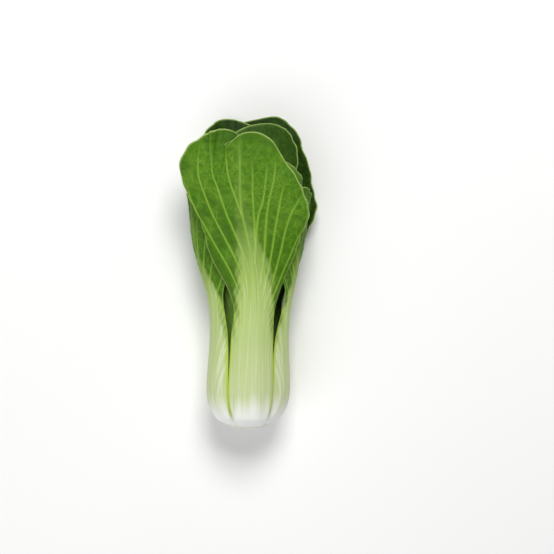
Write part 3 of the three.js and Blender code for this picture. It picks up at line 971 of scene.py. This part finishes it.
class BokChoySettings(bpy.types.PropertyGroup):
    """Sizes and colours of the head that a user would change."""
    vein_height: bpy.props.FloatProperty(
        name="Vein height", description="How far the main veins stand out of the blade",
        default=0.00042, min=0, unit="LENGTH")
    swelling: bpy.props.FloatProperty(
        name="Swelling", description="How far the tissue between the veins swells out",
        default=0.0004, min=0, unit="LENGTH")
    string_height: bpy.props.FloatProperty(
        name="String height", description="How far the strings along a stalk stand out of it",
        default=0.0003, min=0, unit="LENGTH")
    blade_outside: bpy.props.FloatVectorProperty(
        name="Blade outside", description="The outer face of a full-grown blade",
        subtype="COLOR", size=4, min=0, max=1, default=tint(73, 122, 3))
    blade_inside: bpy.props.FloatVectorProperty(
        name="Blade inside", description="The inner face of a full-grown blade",
        subtype="COLOR", size=4, min=0, max=1, default=tint(24, 54, 3))
    vein_colour: bpy.props.FloatVectorProperty(
        name="Vein", description="The veins of a full-grown blade",
        subtype="COLOR", size=4, min=0, max=1, default=tint(148, 188, 66))
    stalk_foot: bpy.props.FloatVectorProperty(
        name="Stalk foot", description="The lowest end of a stalk",
        subtype="COLOR", size=4, min=0, max=1, default=tint(249, 250, 246))
    stalk_middle: bpy.props.FloatVectorProperty(
        name="Stalk middle", description="A stalk at its widest",
        subtype="COLOR", size=4, min=0, max=1, default=tint(197, 208, 158))
    stalk_neck: bpy.props.FloatVectorProperty(
        name="Stalk neck", description="A stalk just below its blade",
        subtype="COLOR", size=4, min=0, max=1, default=tint(163, 190, 94))


def leaf_colours(settings, youth):
    """The tissue's colours for a leaf that is from 0, full grown, to 1, very young."""
    def younger(colour, young):
        return tuple(mix(a, b, youth) for a, b in zip(colour, young))
    return {
        "Blade Outside": younger(settings.blade_outside, tint(124, 168, 60)),
        "Blade Inside": younger(settings.blade_inside, tint(84, 132, 36)),
        "Vein": younger(settings.vein_colour, tint(184, 210, 126)),
        "Stalk Foot": tuple(settings.stalk_foot),
        "Stalk Middle": younger(settings.stalk_middle, tint(204, 214, 168)),
        "Stalk Neck": younger(settings.stalk_neck, tint(168, 194, 108)),
        # The colour of the painted light through the stalk's thin edges.
        "Stalk Edge Light": younger(tint(172, 198, 56), tint(176, 200, 84)),
        # The colour of the painted highlight along the margins.
        "Rim Highlight": younger(tint(168, 196, 108), tint(172, 200, 114)),
    }


class BOKCHOY_OT_outer_leaves(bpy.types.Operator):
    """Build the ring of full-grown outer leaves"""
    bl_idname = "bokchoy.outer_leaves"
    bl_label = "Outer leaves"

    def execute(self, context):
        build_leaves(LEAVES[:OUTER_LEAVES], OUTER_GRID, "outer_leaf", 0)
        return {"FINISHED"}


class BOKCHOY_OT_inner_leaves(bpy.types.Operator):
    """Build the younger leaves inside the ring"""
    bl_idname = "bokchoy.inner_leaves"
    bl_label = "Inner leaves"

    def execute(self, context):
        build_leaves(LEAVES[OUTER_LEAVES:], INNER_GRID, "inner_leaf", INNER_YOUTH)
        return {"FINISHED"}


class BOKCHOY_OT_stem(bpy.types.Operator):
    """Build the cut stem with its vessel ends"""
    bl_idname = "bokchoy.stem"
    bl_label = "Stem"

    def execute(self, context):
        piece = link("cut_stem", stem_mesh("cut_stem"))
        grown(piece, shared("vessel ends", bundle_tree), {
            **VESSELS, "Cut End": tuple(AXIS), "Finish": stem_material()})
        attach(piece, "root")
        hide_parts("stem")
        return {"FINISHED"}


def lamp(name, place, size, energy, colour):
    """A soft square lamp that points at the head."""
    data = bpy.data.lights.new(name, "AREA")
    data.size = size
    data.energy = energy
    data.color = colour
    obj = link(name, data)
    obj.location = place
    obj.rotation_euler = (Vector(LAMPS_AIM) - Vector(place)).to_track_quat("-Z", "Y").to_euler()


class BOKCHOY_OT_stage(bpy.types.Operator):
    """Set the floor, the soft lights and the camera that looks straight down"""
    bl_idname = "bokchoy.stage"
    bl_label = "Stage"

    def execute(self, context):
        far = FLOOR_HALF
        corners = [(-far, -far, 0), (far, -far, 0), (far, far, 0), (-far, far, 0)]
        floor_mesh = bpy.data.meshes.new("floor")
        floor_mesh.from_pydata(corners, [], [(0, 1, 2, 3)])
        floor = link("floor", floor_mesh)
        paper, w = new_material("pale paper")
        place = w.put("ShaderNodeTexCoord").outputs["Object"]
        dark, light = [(tone, tone, tone, 1) for tone in FLOOR_TONES]
        tone = w.blend(w.ranged(w.noise(place, 3.0), 0.3, 0.7), dark, light)
        surface(w, {"Base Color": tone, "Roughness": 0.9})
        floor_mesh.materials.append(paper)

        for settings in LAMPS:
            lamp(**settings)
        world = bpy.data.worlds.new("room")
        world.use_nodes = True
        background = world.node_tree.nodes["Background"]
        background.inputs["Color"].default_value = (1, 1, 1, 1)
        background.inputs["Strength"].default_value = ROOM_LIGHT
        context.scene.world = world

        camera = bpy.data.cameras.new("camera")
        camera.sensor_width = SENSOR_WIDTH
        frame_width = PICTURE_PIXELS * PIXEL_SIZE * MM
        head_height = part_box("leaf_01")[1].z
        camera.lens = SENSOR_WIDTH * (CAMERA_HEIGHT - head_height * SCALE_AT) / frame_width
        eye = link("camera", camera)
        middle = PICTURE_PIXELS / 2
        eye.location = (AXIS.x + (middle - CUT_END_PIXEL[0]) * PIXEL_SIZE * MM,
                        AXIS.y + (CUT_END_PIXEL[1] - middle) * PIXEL_SIZE * MM, CAMERA_HEIGHT)
        context.scene.camera = eye
        context.scene.view_settings.view_transform = "Standard"
        return {"FINISHED"}


class BOKCHOY_PT_panel(bpy.types.Panel):
    """Settings and steps of the head"""
    bl_idname = "BOKCHOY_PT_panel"
    bl_label = "Bok Choy"
    bl_space_type = "VIEW_3D"
    bl_region_type = "UI"
    bl_category = "Bok Choy"

    def draw(self, context):
        for name in BokChoySettings.__annotations__:
            self.layout.prop(context.scene.bok_choy, name)
        for operator in STEPS:
            self.layout.operator(operator.bl_idname)


STEPS = (BOKCHOY_OT_outer_leaves, BOKCHOY_OT_inner_leaves, BOKCHOY_OT_stem, BOKCHOY_OT_stage)
CLASSES = (BokChoySettings, *STEPS, BOKCHOY_PT_panel)


def register():
    for cls in CLASSES:
        bpy.utils.register_class(cls)
    bpy.types.Scene.bok_choy = bpy.props.PointerProperty(type=BokChoySettings)


def unregister():
    del bpy.types.Scene.bok_choy
    for cls in reversed(CLASSES):
        bpy.utils.unregister_class(cls)


def main():
    register()
    bpy.ops.bokchoy.outer_leaves()
    bpy.ops.bokchoy.inner_leaves()
    bpy.ops.bokchoy.stem()
    bpy.ops.bokchoy.stage()
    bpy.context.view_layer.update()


if __name__ == "__main__":
    main()
